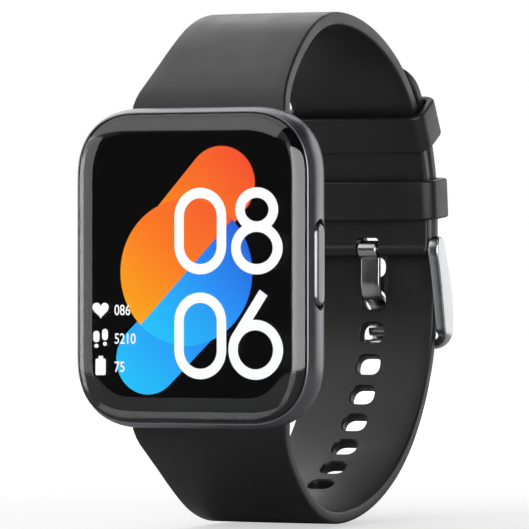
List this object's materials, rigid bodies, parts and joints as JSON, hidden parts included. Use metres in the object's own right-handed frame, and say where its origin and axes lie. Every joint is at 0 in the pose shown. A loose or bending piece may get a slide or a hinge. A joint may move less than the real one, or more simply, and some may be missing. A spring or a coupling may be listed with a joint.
{
  "type": "smartwatch",
  "caption": "Rectangular smartwatch with curved-edge glass, metal surround and side button, its silicone strap closed into a loop by a pin buckle and keepers.",
  "frame": {"origin": "centre of the sensor window's flat outer face, which rests on the wrist", "axes": "+Z towards twelve o'clock, -Y out of the display, +X to the side button"},
  "size_m": [0.0385, 0.0696, 0.0761],
  "materials": {
    "case_metal": "satin gunmetal anodised",
    "cover_glass": "polished, curved edge",
    "display": "black when unlit",
    "adhesive": "matte",
    "silicone": "smooth matte silicone",
    "steel": "polished and brushed",
    "black_plastic": "fine moulded grain",
    "chassis_plastic": "matte",
    "circuit_board": "solder mask",
    "flex_film": "polyimide film",
    "tin": "tinned sheet",
    "battery_foil": "pouch foil",
    "gold": "gold plated",
    "magnet": "nickel plated",
    "led_lens": "cast clear resin",
    "sensor_glass": "tinted window"
  },
  "bodies": {
    "case": {"case_frame": "case_metal", "cover_glass": "cover_glass", "back_cover": "black_plastic", "sensor_window": "sensor_glass", "button_seal": "silicone", "glass_adhesive": "adhesive", "display_panel": "display", "display_flex": "flex_film", "middle_chassis": "chassis_plastic", "main_board": "circuit_board", "processor_shield": "tin", "memory_chip": "black_plastic", "motion_sensor_chip": "black_plastic", "battery": "battery_foil", "battery_flex": "flex_film", "vibration_motor": "tin", "side_switch": "black_plastic", "back_seal": "silicone", "sensor_board": "circuit_board", "light_baffle": "black_plastic", "photodiode": "black_plastic", "led_module_left": "led_lens", "led_module_right": "led_lens", "charge_magnet_left": "magnet", "charge_magnet_right": "magnet", "charge_contact_left": "gold", "charge_contact_right": "gold", "back_screw_1": "steel", "back_screw_2": "steel", "back_screw_3": "steel", "back_screw_4": "steel"},
    "button": {"side_button": "case_metal", "button_clip": "steel"},
    "upper_strap": {"strap_upper": "silicone", "keeper_fixed": "silicone", "upper_spring_bar": "steel", "upper_bar_fixed_tip": "steel", "upper_bar_spring": "steel"},
    "upper_release": {"upper_bar_release_tip": "steel"},
    "lower_strap": {"strap_lower": "silicone", "lower_spring_bar": "steel", "lower_bar_fixed_tip": "steel", "lower_bar_spring": "steel"},
    "lower_release": {"lower_bar_release_tip": "steel"},
    "free_keeper": {"keeper_free": "silicone"},
    "buckle": {"buckle_frame": "steel", "buckle_pin": "steel"},
    "tongue": {"buckle_tongue": "steel"}
  },
  "joints": [
    {"name": "button_press", "type": "slide", "parent": "case", "child": "button", "axis": [-1, 0, 0], "range_m": [0, 0.0005], "stiffness_N_per_m": 2500, "springref_m": -0.0005},
    {"name": "upper_strap_pivot", "type": "hinge", "parent": "case", "child": "upper_strap", "pos_m": [0, -0.0038, 0.0202], "axis": [1, 0, 0], "range_deg": [-0.4, 0.2]},
    {"name": "lower_strap_pivot", "type": "hinge", "parent": "case", "child": "lower_strap", "pos_m": [0, -0.0038, -0.0202], "axis": [1, 0, 0], "range_deg": [-0.4, 0.2]},
    {"name": "upper_bar_release", "type": "slide", "parent": "upper_strap", "child": "upper_release", "axis": [-1, 0, 0], "range_m": [0, 0.0013], "stiffness_N_per_m": 500, "springref_m": -0.001},
    {"name": "lower_bar_release", "type": "slide", "parent": "lower_strap", "child": "lower_release", "axis": [-1, 0, 0], "range_m": [0, 0.0013], "stiffness_N_per_m": 500, "springref_m": -0.001},
    {"name": "free_keeper_travel", "type": "hinge", "parent": "upper_strap", "child": "free_keeper", "pos_m": [0, 0.0257, 0.00802], "axis": [1, 0, 0], "range_deg": [-9.5, 18]},
    {"name": "buckle_swing", "type": "hinge", "parent": "upper_strap", "child": "buckle", "pos_m": [0, 0.0533, 0.0029], "axis": [1, 0, 0], "range_deg": [0, 1]},
    {"name": "tongue_swing", "type": "hinge", "parent": "buckle", "child": "tongue", "pos_m": [0, 0.0533, 0.0029], "axis": [1, 0, 0], "range_deg": [0, 1]}
  ],
  "couplings": [
    {"joint": "lower_strap_pivot", "follows": "upper_strap_pivot", "ratio": 1}
  ]
}
